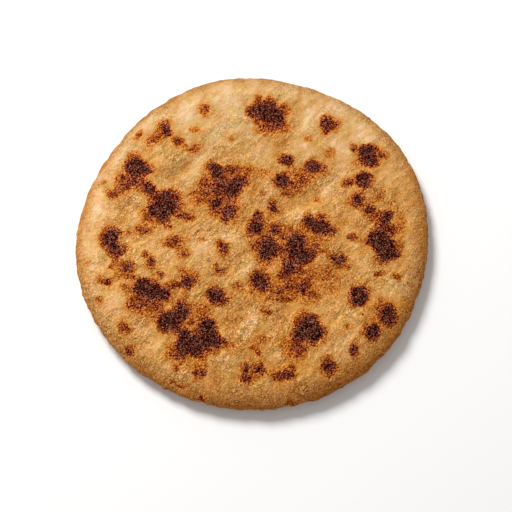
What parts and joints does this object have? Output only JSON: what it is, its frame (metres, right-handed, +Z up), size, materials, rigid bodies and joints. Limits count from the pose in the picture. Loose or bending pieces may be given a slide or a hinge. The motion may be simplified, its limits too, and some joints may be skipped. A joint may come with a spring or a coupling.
{
  "type": "rotla flatbread",
  "caption": "Thick round griddle-baked millet flatbread with a hand-patted outline, a gently dimpled scorched crust and a flat underside.",
  "frame": {"origin": "middle of the flat underside, at the centre of the bread's box seen from above", "axes": "+Z is up through the crust; +X is to the right and +Y away from the viewer in the picture"},
  "size_m": [0.18, 0.176, 0.0145],
  "materials": {
    "baked_crust": "matte"
  },
  "bodies": {
    "root": {"rotla": "baked_crust"}
  },
  "joints": []
}
